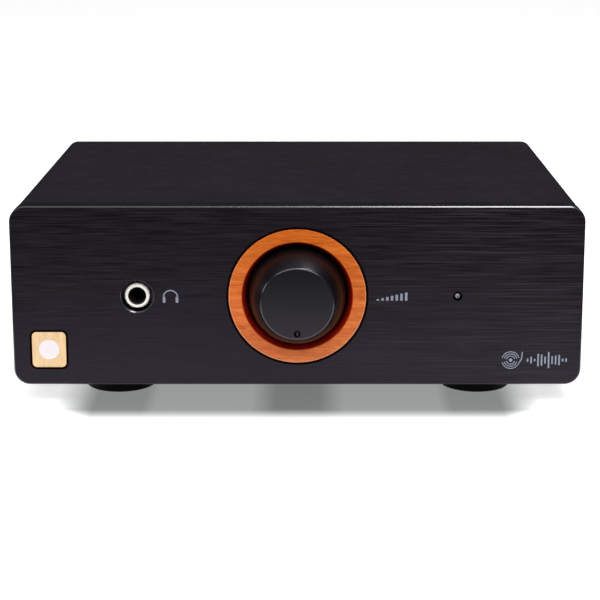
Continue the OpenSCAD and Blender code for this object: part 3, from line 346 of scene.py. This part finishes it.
def turned_black():
    """Satin black anodising over fine turning marks; the face's round edge is polished."""
    f = Finish(
        "turned_black", (0.012, 0.012, 0.014),
        Specular_IOR_Level=0.30, Specular_Tint=(1.0, 0.9, 1.08, 1), Coat_Roughness=0.14,
    )
    x, y, z = f.parts(f.place(shift=(0, 0, -AXIS_Z)))
    reach = distance(x, z)
    rings = f.noise(f.add("ShaderNodeCombineXYZ", {}, reach * 4200, y * 5200, 0.0), 2.0)
    grain = f.noise(f.place((1800, 1800, 1800)), 2.0)
    flank = f.within(reach, KNOB_FACE_R + 0.1 * MM, KNOB_FACE_R + 0.9 * MM)
    black = f.blend(rings, (0.0045, 0.0042, 0.0064), (0.0062, 0.0059, 0.0088))
    black = f.blend(flank, black, (0.0022, 0.0020, 0.0026))
    edge = f.within(reach, KNOB_FACE_R - 0.45 * MM, KNOB_FACE_R - 0.35 * MM)
    edge = edge * f.within(y - KNOB_FACE_Y, 0.45 * MM, 0.3 * MM)
    black = f.blend(edge, black, (0.075, 0.074, 0.08))
    # Painted shade: the pointer dimple is painted near-black inside, as if in shadow.
    painted_dimple_shade = f.within(distance(x, z + DIMPLE_DROP), DIMPLE_R, DIMPLE_R * 0.85)
    f.set("Base Color", f.blend(painted_dimple_shade, black, (0.001, 0.001, 0.001)))
    f.set("Metallic", edge * 0.9)
    f.set("Roughness", 0.11 + rings * 0.03 + grain * 0.05 + flank * 0.24)
    f.set("Coat Weight", (1.0 - flank) * (1.0 - edge) * 0.22)
    f.bump(rings * 0.7 + grain * 0.3, 0.015 * MM, 0.3)
    return f


def bright_metal(name, colour, rough):
    """Plated or bright metal with faint scuffs."""
    f = Finish(name, colour, rough, metal=1.0)
    scuffs = f.noise(f.place((700, 700, 700)), 4.0)
    cloud = f.noise(f.place((90, 90, 90)), 2.0)
    f.set("Base Color", f.blend(cloud, [c * 0.86 for c in colour], colour))
    f.set("Roughness", rough + (scuffs - 0.4) * 0.15)
    f.bump(scuffs, 0.01 * MM, 0.3)
    return f


def moulded(name, colour, rough, grain=0.4, **constants):
    """Moulded plastic or rubber with a fine even grain."""
    f = Finish(name, colour, rough, **constants)
    skin = f.noise(f.place((1500, 1500, 1500)), 3.0)
    cloud = f.noise(f.place((60, 60, 60)), 2.0)
    f.set("Base Color", f.blend(cloud, [c * 0.82 for c in colour], [min(1, c * 1.12) for c in colour]))
    f.set("Roughness", rough - 0.05 + skin * 0.12)
    f.bump(skin, 0.03 * MM, grain)
    return f


def socket_nose():
    """Bright pearl plating on the nose of the headphone socket; its bore and a thin band round its mouth are
    painted near-black, as painted shade.
    """
    f = Finish("socket_nose", (0.95, 0.91, 0.86), 0.3)
    x, _, z = f.parts(f.place(shift=(-JACK_X, 0, -AXIS_Z)))
    # Painted shade in the bore and round its mouth.
    painted_bore_shade = f.within(distance(x, z), JACK_BORE_R + 0.5 * MM, JACK_BORE_R + 0.4 * MM)
    cloud = f.noise(f.place((500, 500, 500)), 3.0)
    plating = f.blend(cloud, (0.88, 0.83, 0.78), (1.0, 0.96, 0.91))
    f.set("Base Color", f.blend(painted_bore_shade, plating, (0.006, 0.004, 0.003)))
    f.set("Metallic", (1.0 - painted_bore_shade) * 0.3)
    f.set("Roughness", 0.26 + cloud * 0.08 + painted_bore_shade * 0.3)
    f.bump(cloud, 0.02 * MM, 0.2)
    return f


def circuit_board():
    """Green solder mask over a faint pattern of tracks."""
    f = Finish("circuit_board", (0.02, 0.11, 0.05), 0.35, Specular_IOR_Level=0.6)
    cells = f.add(
        "ShaderNodeTexVoronoi", {"feature": "DISTANCE_TO_EDGE", "distance": "MANHATTAN"},
        Vector=f.place((180, 180, 180)), Scale=1.0,
    )
    tracks = f.within(cells, 0.10, 0.12)
    f.set("Base Color", f.blend(tracks, (0.05, 0.2, 0.09), (0.012, 0.075, 0.035)))
    f.bump(tracks, 0.03 * MM, 0.4)
    return f


def smoked_lens():
    """A smoked lens with a painted highlight: a pale crescent at its upper left, round a small dark chip."""
    f = Finish("smoked_lens", (0.03, 0.03, 0.03), 0.08, Specular_IOR_Level=0.5)
    low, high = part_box("power_light")
    wide = high.x - low.x
    at = middle("power_light")
    x, _, z = f.parts(f.place(shift=(-at.x, 0, -at.z)))
    reach = distance(x, z)
    # Painted highlight: a pale crescent at the upper left of the lens.
    painted_crescent = f.within(reach, wide * 0.38, wide * 0.24) * f.within(z - x * 0.5, -wide * 0.45, wide * 0.25)
    chip = f.within(reach, wide * 0.08, wide * 0.18)
    haze = f.noise(f.place((900, 900, 900)), 2.0)
    painted_highlight = painted_crescent * (chip * 0.8 + 0.2) * (haze * 0.4 + 0.6)
    f.set("Base Color", f.blend(painted_highlight, (0.012, 0.011, 0.012), (0.52, 0.50, 0.52)))
    f.set("Roughness", 0.12 + haze * 0.08)
    return f


def printed_ink(name, dark, light):
    """Screen-printed ink, a little uneven."""
    f = Finish(name, light, 0.55)
    patchy = f.noise(f.place((1200, 1200, 1200)), 3.0)
    f.set("Base Color", f.blend(patchy, dark, light))
    f.bump(patchy, 0.01 * MM, 0.3)
    return f


PANEL = brushed_black()
COVER = satin_coat("satin_cover", (0.0158, 0.0118, 0.0188), 0.44)
SHEET = satin_coat("satin_sheet", (0.018, 0.017, 0.020), 0.5)
RING = lacquered_wood()
KNOB = turned_black()
BADGE = pale_wood()
NICKEL = bright_metal("nickel", (0.74, 0.73, 0.70), 0.18)
NOSE = socket_nose()
STEEL = bright_metal("zinc_steel", (0.55, 0.55, 0.57), 0.3)
BRASS = bright_metal("gilt_brass", (0.83, 0.62, 0.29), 0.22)
BLACK_STEEL = bright_metal("black_steel", (0.05, 0.05, 0.052), 0.38)
BLACK = moulded("black_plastic", (0.018, 0.018, 0.019), 0.42)
FOOT = moulded("foot_plastic", (0.0028, 0.0016, 0.0012), 0.42, Specular_IOR_Level=0.1)
RUBBER = moulded("rubber", (0.022, 0.021, 0.02), 0.75, 0.7)
WHITE = moulded("white_plastic", (0.78, 0.77, 0.72), 0.3)
IVORY = moulded("ivory_inlay", (0.80, 0.73, 0.75), 0.35)
RED = moulded("red_plastic", (0.5, 0.018, 0.012), 0.3)
BLUE = moulded("blue_plastic", (0.03, 0.09, 0.22), 0.3)
GREY = moulded("grey_plastic", (0.5, 0.47, 0.4), 0.5)
FILM = moulded("film_red", (0.42, 0.04, 0.025), 0.25)
PALE_BLUE = moulded("resistor_coat", (0.22, 0.42, 0.55), 0.3)
BOARD = circuit_board()
LENS = smoked_lens()
BLUE_INK = printed_ink("blue_grey_ink", (0.17, 0.185, 0.24), (0.28, 0.30, 0.38))
WHITE_INK = printed_ink("white_ink", (0.50, 0.50, 0.50), (0.72, 0.72, 0.72))
# Painted shadow: matte near-black for the gaps round the inlaid wood.
GAP_SHADE_PAINT = moulded("painted_gap_shade", (0.0070, 0.0016, 0.0010), 0.8, Specular_IOR_Level=0.0)

FINISHES = {
    PANEL: ["front_panel", "heat_sinks"],
    COVER: ["top_cover"],
    SHEET: ["base_tray", "rear_panel"],
    RING: ["wooden_ring"],
    KNOB: ["volume_knob"],
    BADGE: ["badge_plate"],
    IVORY: ["badge_inlay"],
    NICKEL: [
        "input_left_socket", "input_right_socket", "output_left_socket", "output_right_socket",
        "connector_nuts", "earth_post", "earth_washer", "power_inlet_shell", "power_inlet_pin",
    ],
    NOSE: ["headphone_socket_nose"],
    STEEL: [
        "pot_shaft", "pot_nut", "panel_screws", "foot_screws", "board_screws", "cartridge_switch_body",
    ],
    BRASS: ["pot_bush", "headphone_contacts", "board_standoffs", "socket_contacts", "earth_thumb_nut"],
    BLACK_STEEL: ["knob_grub_screw", "case_screws", "headphone_socket_nut"],
    BLACK: [
        "headphone_socket_body", "power_light_holder", "board_headers", "amplifier_chips",
        "voltage_regulators", "cartridge_switch_slider", "power_switch_body", "power_switch_rocker",
    ],
    FOOT: ["foot_front_left", "foot_front_right", "foot_back_left", "foot_back_right"],
    RUBBER: ["foot_pads"],
    WHITE: ["relays", "socket_rings_white", "socket_cores"],
    RED: ["socket_rings_red"],
    BLUE: ["pot_housing", "power_capacitors"],
    GREY: ["pot_rotor"],
    FILM: ["signal_capacitors"],
    PALE_BLUE: ["resistors"],
    BOARD: ["control_board", "main_board", "rear_board"],
    LENS: ["power_light"],
}


def dress_nodes():
    for finish, names in FINISHES.items():
        for name in names:
            slots = frame["nodes"][name].data.materials
            slots.clear()
            slots.append(finish.material)


def skin(bm, loops):
    """The faces of a solid whose corners lie in a row of loops, closed at both ends."""
    for one, two in zip(loops, loops[1:]):
        for i in range(len(one)):
            j = (i + 1) % len(one)
            bm.faces.new((one[i], one[j], two[j], two[i]))
    bm.faces.new(loops[0][::-1])
    bm.faces.new(loops[-1])


def object_of(name, bm, finish):
    """An object made from a finished mesh, in one material."""
    mesh = bpy.data.meshes.new(name)
    bm.to_mesh(mesh)
    bm.free()
    mesh.materials.append(finish.material)
    piece = bpy.data.objects.new(name, mesh)
    bpy.context.scene.collection.objects.link(piece)
    return piece


# ---- Printed marks ----

MARK_T = 0.04 * MM


def arc(centre, r, start, end, steps=24):
    """Points along an arc, with its angles in degrees."""
    turns = [math.radians(start + (end - start) * i / steps) for i in range(steps + 1)]
    return [(centre[0] + r * math.cos(a), centre[1] + r * math.sin(a)) for a in turns]


def disc(centre, r, steps=28):
    return arc(centre, r, 0, 360, steps)[:-1]


def bar(left, low, right, high):
    return [(left, low), (right, low), (right, high), (left, high)]


def ribbon(points, width):
    """The outline of a line of even width along open points."""
    sides = ([], [])
    for i, here in enumerate(points):
        before = Vector(points[max(i - 1, 0)])
        after = Vector(points[min(i + 1, len(points) - 1)])
        along = (after - before).normalized()
        across = Vector((-along.y, along.x)) * width / 2
        sides[0].append(Vector(here) + across)
        sides[1].append(Vector(here) - across)
    return sides[0] + sides[1][::-1]


def hoop(centre, r, width, steps=24):
    """A whole ring, as two halves."""
    return [ribbon(arc(centre, r, start, start + 180, steps), width) for start in (0, 180)]


def frame_line(w, h, r, width):
    """A line round a rectangle with round corners, as a right and a left half."""
    steps = 10
    points = [(0, -h / 2)]
    points += arc((w / 2 - r, r - h / 2), r, -90, 0, steps)
    points += arc((w / 2 - r, h / 2 - r), r, 0, 90, steps)
    points += [(0, h / 2)]
    return [ribbon([(side * u, v) for u, v in points], width) for side in (1, -1)]


UPRIGHT = Matrix.Rotation(math.radians(90), 4, "X")
ABOUT_TURN = Matrix.Rotation(math.radians(180), 4, "Z")


def on_front(x, z):
    """A place on the front panel, for a mark that faces forwards."""
    return Matrix.Translation((x, FACE_Y, z)) @ UPRIGHT


def on_rear(x, z, y=BACK_Y):
    """A place on the rear panel, or at another depth, for a mark that faces backwards."""
    return Matrix.Translation((x, y, z)) @ ABOUT_TURN @ UPRIGHT


def printed(name, outlines, place, ink, body="case"):
    """A thin printed mark. Its outlines are in millimetres: to the right, and up."""
    bm = bmesh.new()
    for outline in outlines:
        skin(bm, [[bm.verts.new((u * MM, v * MM, w)) for u, v in outline] for w in (0, MARK_T)])
    bmesh.ops.recalc_face_normals(bm, faces=bm.faces)
    bm.transform(place)
    piece = object_of(name, bm, ink)
    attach(piece, body)


def headphones_mark():
    """A headband with an ear pad at each end."""
    band_r, band_w = 2.9, 0.5
    pad_u, pad_r, pad_low, pad_high = 2.6, 0.55, -2.1, -0.5
    shapes = [ribbon(arc((0, -0.4), band_r, 0, 180), band_w)]
    for side in (-1, 1):
        low = arc((side * pad_u, pad_low), pad_r, 180, 360, 10)
        high = arc((side * pad_u, pad_high), pad_r, 0, 180, 10)
        shapes.append(low + high)
    return shapes


def volume_mark():
    """Bars that grow in height, for more and less."""
    count, left, low = 7, -5.6, -1.7
    pitch, width = 1.9, 1.0
    shortest, growth = 0.6, 0.46
    lefts = [left + pitch * i for i in range(count)]
    return [bar(u, low, u + width, low + shortest + growth * i) for i, u in enumerate(lefts)]


def record_mark():
    """A grooved disc under a pick-up arm, and the wave that it plays."""
    centre = (-9.6, 0)
    groove_w, arm_w = 0.36, 0.45
    shapes = [disc(centre, 0.7)]
    for r in (1.7, 2.6, 3.5):
        for start in (15, 195):
            shapes.append(ribbon(arc(centre, r, start, start + 150), groove_w))
    shapes.append(ribbon([(-4.9, 3.4), (-5.1, 0.7), (-6.5, -1.9)], arm_w))
    count, first, pitch, width = 12, -2.7, 1.42, 0.64
    for i in range(count):
        swell = math.sin(math.pi * (i + 0.5) / count)
        half = 0.4 + 3.0 * swell * abs(math.sin(1.15 * i + 0.9))
        u = first + pitch * i
        shapes.append(bar(u - width / 2, -half, u + width / 2, half))
    return shapes


def arrow(side):
    """An arrow to a side of a short upright line, for what goes in or comes out."""
    shaft = bar(-2.6, -0.25, 1.2, 0.25)
    head = [(1.0, -1.0), (2.6, 0), (1.0, 1.0)]
    line = bar(3.2, -1.3, 3.7, 1.3) if side == "in" else bar(-3.7, -1.3, -3.2, 1.3)
    return [shaft, head, line]


def pair_bracket(half):
    """A line over a pair of sockets, broken for its arrow."""
    gap, drop, width = 5.2, 2.2, 0.35
    sides = [[(side * gap, 0), (side * half, 0), (side * half, -drop)] for side in (-1, 1)]
    return [ribbon(points, width) for points in sides]


def earth_mark():
    """Three shorter and shorter lines under an upright one."""
    half_w, pitch, halves = 0.2, 1.0, (2.2, 1.4, 0.6)
    lines = [bar(-half, -half_w - pitch * i, half, half_w - pitch * i) for i, half in enumerate(halves)]
    return lines + [bar(-half_w, half_w, half_w, 2.6)]


def polarity_mark():
    """A centre-positive plug: minus on its sleeve, plus on its pin."""
    pin = disc((0, 0), 0.7)
    sleeve = [ribbon(arc((0, 0), 1.9, start, start + 130), 0.35) for start in (25, 205)]
    joins = [bar(0.7, -0.17, 3.6, 0.17), bar(-3.6, -0.17, -1.8, 0.17)]
    sign_u, sign_half, half_w = 4.8, 0.6, 0.15
    ends = hoop((-sign_u, 0), 1.2, 0.3) + hoop((sign_u, 0), 1.2, 0.3)
    dashes = [bar(u - sign_half, -half_w, u + sign_half, half_w) for u in (-sign_u, sign_u)]
    upright = bar(sign_u - half_w, -sign_half, sign_u + half_w, sign_half)
    return [pin] + sleeve + joins + ends + dashes + [upright]


def slide_marks():
    """One bar at one end of the slider's travel, and two at the other."""
    width, half = 0.5, 1
    return [bar(left, -half, left + width, half) for left in (-4.2, 3.0, 4.0)]


def front_marks():
    headphones_x, volume_x, record_x = -51 * MM, 37.5 * MM, 96 * MM
    record_z = PANEL_LOW.z + 10.4 * MM
    printed("headphones_mark", headphones_mark(), on_front(headphones_x, AXIS_Z), BLUE_INK)
    printed("volume_mark", volume_mark(), on_front(volume_x, AXIS_Z), BLUE_INK)
    printed("record_mark", record_mark(), on_front(record_x, record_z), BLUE_INK)


def painted_gap_shadows():
    """A thin matte near-black line round each piece of inlaid wood: painted shadow of the gap round it."""
    width = 0.9
    ring = hoop((0, 0), RING_R / MM + width / 2, width, 72)
    printed("ring_gap_shadow", ring, on_front(0, AXIS_Z), GAP_SHADE_PAINT)
    low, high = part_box("badge_plate")
    w, h = (high.x - low.x) / MM + width, (high.z - low.z) / MM + width
    badge = frame_line(w, h, BADGE_CORNER_R / MM + width / 2, width)
    at = middle("badge_plate")
    printed("badge_gap_shadow", badge, on_front(at.x, at.z), GAP_SHADE_PAINT)


def rear_marks():
    over, under = AXIS_Z + 12.5 * MM, AXIS_Z - 10 * MM
    for side, kind in (("in", "input"), ("out", "output")):
        left, right = f"{kind}_left_socket", f"{kind}_right_socket"
        half = (middle(right).x - middle(left).x) / 2 / MM
        shapes = arrow(side) + pair_bracket(half)
        printed(f"{kind}_mark", shapes, on_rear(middle(left, right).x, over), WHITE_INK)
    earth_x, inlet_x = middle("earth_post").x, middle("power_inlet_shell").x
    printed("earth_mark", earth_mark(), on_rear(earth_x, over), WHITE_INK)
    printed("polarity_mark", polarity_mark(), on_rear(inlet_x, over), WHITE_INK)
    slide_x = middle("cartridge_switch_body").x
    printed("slide_mark", slide_marks(), on_rear(slide_x, under), WHITE_INK)


def rocker_marks():
    """The line and the ring of a power switch, each on its own half of the rocker."""
    rock = next(joint for joint in frame["joints"] if joint["name"] == "power_rock")
    pivot = Vector(rock["pos_m"])
    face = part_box("power_switch_rocker")[1].y - pivot.y
    lean = math.radians(rock["range_deg"][1])
    at = Matrix.Translation(pivot)
    far = 4.3 * MM
    on = at @ on_rear(0, far, face)
    off = at @ Matrix.Rotation(-lean, 4, "X") @ on_rear(0, -far, face)
    printed("rocker_line_mark", [bar(-0.25, -1.5, 0.25, 1.5)], on, WHITE_INK, "power_rocker")
    printed("rocker_ring_mark", hoop((0, 0), 1.25, 0.45), off, WHITE_INK, "power_rocker")


# ---- The earth post's thread ----

def threaded_post():
    """The earth post with a true screw thread, as fine as the pitch that its nut follows."""
    radius, collar_t, worn = 2 * MM, 2 * MM, 0.25 * MM
    collar_r = (POST_HIGH.x - POST_LOW.x) / 2
    pitch, depth, lead_in = 0.7 * MM, 0.38 * MM, 0.6 * MM
    sides, rows_per_turn = 36, 8
    length = POST_HIGH.y - POST_LOW.y
    rows = round(length / pitch * rows_per_turn)
    axis = middle("earth_post")
    bm = bmesh.new()

    def loop(y, reach):
        turns = [2 * math.pi * i / sides for i in range(sides)]
        return [
            bm.verts.new((axis.x + reach(a) * math.cos(a), y, axis.z + reach(a) * math.sin(a)))
            for a in turns
        ]

    def groove(y, a):
        turn = (y / pitch + a / (2 * math.pi)) % 1.0
        end = max(0.0, lead_in - (POST_HIGH.y - y))
        return radius - max(depth * abs(2 * turn - 1), end)

    thread = [POST_LOW.y + length * i / rows for i in range(rows + 1)]
    skin(bm, [loop(y, lambda a, y=y: groove(y, a)) for y in thread])
    collar = ((0, collar_r), (collar_t - worn, collar_r), (collar_t, collar_r - worn))
    skin(bm, [loop(BACK_Y + y, lambda a, r=r: r) for y, r in collar])
    bmesh.ops.recalc_face_normals(bm, faces=bm.faces)
    piece = object_of("earth_post_thread", bm, NICKEL)
    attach(piece, "case")
    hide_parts("earth_post")


# ---- Floor, light and camera ----

def pale_floor():
    """A floor that glows a little, so that it stays even and white.

    Close to the part it has painted shade, darkest below the front feet and the knob. In the
    part's reflections it is dark further off in front, as past the end of a table."""
    f = Finish("floor", (0.87, 0.87, 0.87), 0.6, Specular_IOR_Level=0.1, Emission_Strength=0.7)
    x, y, _ = f.parts(f.place())
    shade_mid_y = 3 * MM
    aside = abs(x).past(PANEL_HIGH.x)
    ahead = abs(y - shade_mid_y).past(shade_mid_y - FACE_Y)
    open_floor = f.within(distance(aside, ahead), 4 * MM, 18 * MM) + f.within(abs(x), 83 * MM, 100 * MM)
    open_floor = f.within(open_floor, 0.0, 1.0)
    seen = f.add("ShaderNodeLightPath", {}, out="Is Camera Ray")
    table_end_y, table_near_y = FACE_Y - 250 * MM, FACE_Y - 40 * MM
    table = f.within(y, table_end_y, table_near_y) * f.within(abs(x), 240 * MM, 140 * MM)
    shown = f.within(seen + table, 0.0, 1.0)
    # Painted shadow: the floor's colour and its glow are darkened under and close to the part.
    paint = f.blend(open_floor * open_floor, (0.02, 0.02, 0.02), (0.87, 0.88, 0.875))
    f.set("Base Color", f.blend(shown, (0.05, 0.05, 0.05), paint))
    by_foot = f.within(abs(abs(x) - FOOT_X), 17 * MM, 12 * MM)
    by_knob = f.within(abs(x), 19 * MM, 9 * MM)
    by_front = f.within(y, FACE_Y + 60 * MM, FACE_Y + 40 * MM)
    shade = f.blend((by_foot * 0.6 + by_knob) * by_front, (0.445, 0.47, 0.465), (0.255, 0.272, 0.268))
    glow = f.blend(open_floor, shade, (1.0, 1.0, 1.0))
    f.set("Emission Color", f.blend(shown, (0.0, 0.0, 0.0), glow))
    return f


def floor():
    bm = bmesh.new()
    bmesh.ops.create_circle(bm, cap_ends=True, radius=8.0, segments=96)
    object_of("floor", bm, pale_floor())


def soft_box(name, spot, aim, size, radiance):
    """A flat soft lamp. Its power follows from its size and how bright it looks."""
    lamp = bpy.data.lights.new(name, "AREA")
    lamp.shape = "RECTANGLE"
    lamp.size, lamp.size_y = size
    lamp.energy = radiance * math.pi * size[0] * size[1]
    holder = bpy.data.objects.new(name, lamp)
    holder.location = spot
    holder.rotation_euler = (Vector(aim) - Vector(spot)).to_track_quat("-Z", "Y").to_euler()
    bpy.context.scene.collection.objects.link(holder)


def studio():
    """A room that is bright overhead and dark near the horizon, and white behind the part."""
    world = bpy.data.worlds.new("studio")
    world.use_nodes = True
    room = Nodes(world.node_tree)
    sky = world.node_tree.nodes["Background"]
    _, _, rise = room.parts(room.add("ShaderNodeTexCoord", {}, out="Generated"))
    low, high = 0.45, 0.95              # how steeply a direction rises, from 0 to 1
    dark, bright = 0.05, 0.5
    glow = room.add("ShaderNodeMapRange", {"interpolation_type": "SMOOTHSTEP"}, rise, low, high, dark, bright)
    seen = room.add("ShaderNodeLightPath", {}, out="Is Camera Ray")
    room.link(sky.inputs["Strength"], glow.at_least(seen))
    room.link(sky.inputs["Color"], (0.98, 0.98, 1.0, 1))
    bpy.context.scene.world = world
    front = (0, -0.08, 0.05)
    soft_box("key", spot=(0.32, -0.30, 1.2), aim=(0.05, -0.08, 0.05), size=(0.7, 0.34), radiance=7.0)
    soft_box("back_light", spot=(0.45, 0.28, 1.2), aim=(0, -0.05, 0), size=(1.0, 0.35), radiance=1.2)
    soft_box("front_fill", spot=(0.0, -1.15, 1.05), aim=front, size=(2.0, 0.5), radiance=4.0)
    soft_box("low_front", spot=(0.0, -1.3, 0.45), aim=front, size=(1.0, 0.25), radiance=3.2)
    soft_box("left_side", spot=(-1.15, -0.55, 0.33), aim=front, size=(0.4, 0.4), radiance=5.5)
    bpy.context.scene.view_settings.view_transform = "Standard"


def camera():
    """A long lens a little above the front, shifted so that the uprights stay nearly parallel."""
    across, distance_off, height, tilt = 0.0046, 0.640, 0.2145, 11.72
    lens = bpy.data.cameras.new("camera")
    lens.sensor_width = 36
    lens.lens = 98.6
    lens.shift_x = -0.0146
    lens.shift_y = -0.15
    lens.clip_start, lens.clip_end = 0.01, 50
    holder = bpy.data.objects.new("camera", lens)
    holder.location = (across, FACE_Y - distance_off, height)
    holder.rotation_euler = Euler((math.radians(90 - tilt), 0, 0))
    bpy.context.scene.collection.objects.link(holder)
    bpy.context.scene.camera = holder


camera()
floor()
studio()
dress_nodes()
front_marks()
painted_gap_shadows()
rear_marks()
rocker_marks()
threaded_post()
